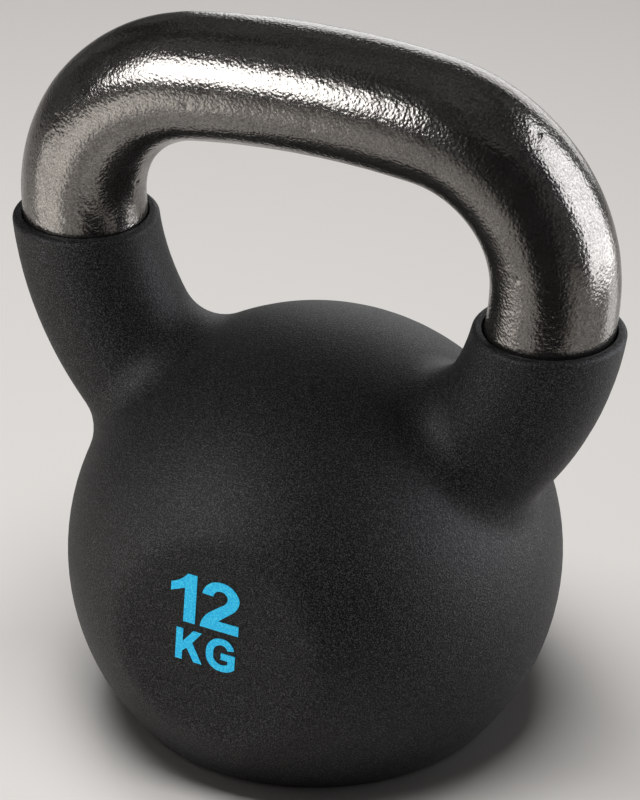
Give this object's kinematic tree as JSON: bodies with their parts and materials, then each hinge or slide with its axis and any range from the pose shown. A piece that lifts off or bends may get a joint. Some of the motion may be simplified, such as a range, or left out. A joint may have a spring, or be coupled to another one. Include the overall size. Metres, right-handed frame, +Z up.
{
  "type": "kettlebell",
  "caption": "Cast-iron kettlebell with a round ball, a flat base and a closed loop handle, its ball and horns in a soft coat that ends in open collars below the bare grip.",
  "frame": {"origin": "centre of the flat base, on the floor", "axes": "+Z up, from the base to the crown of the handle; +X along the handle's bar; -Y is the front, with the printed weight"},
  "size_m": [0.187, 0.1352, 0.2144],
  "materials": {
    "enamelled_iron": "gloss",
    "neoprene": "matte",
    "blue_ink": "matte"
  },
  "bodies": {
    "root": {"iron_casting": "enamelled_iron", "neoprene_coat": "neoprene", "weight_number": "blue_ink", "weight_unit": "blue_ink"}
  },
  "joints": []
}
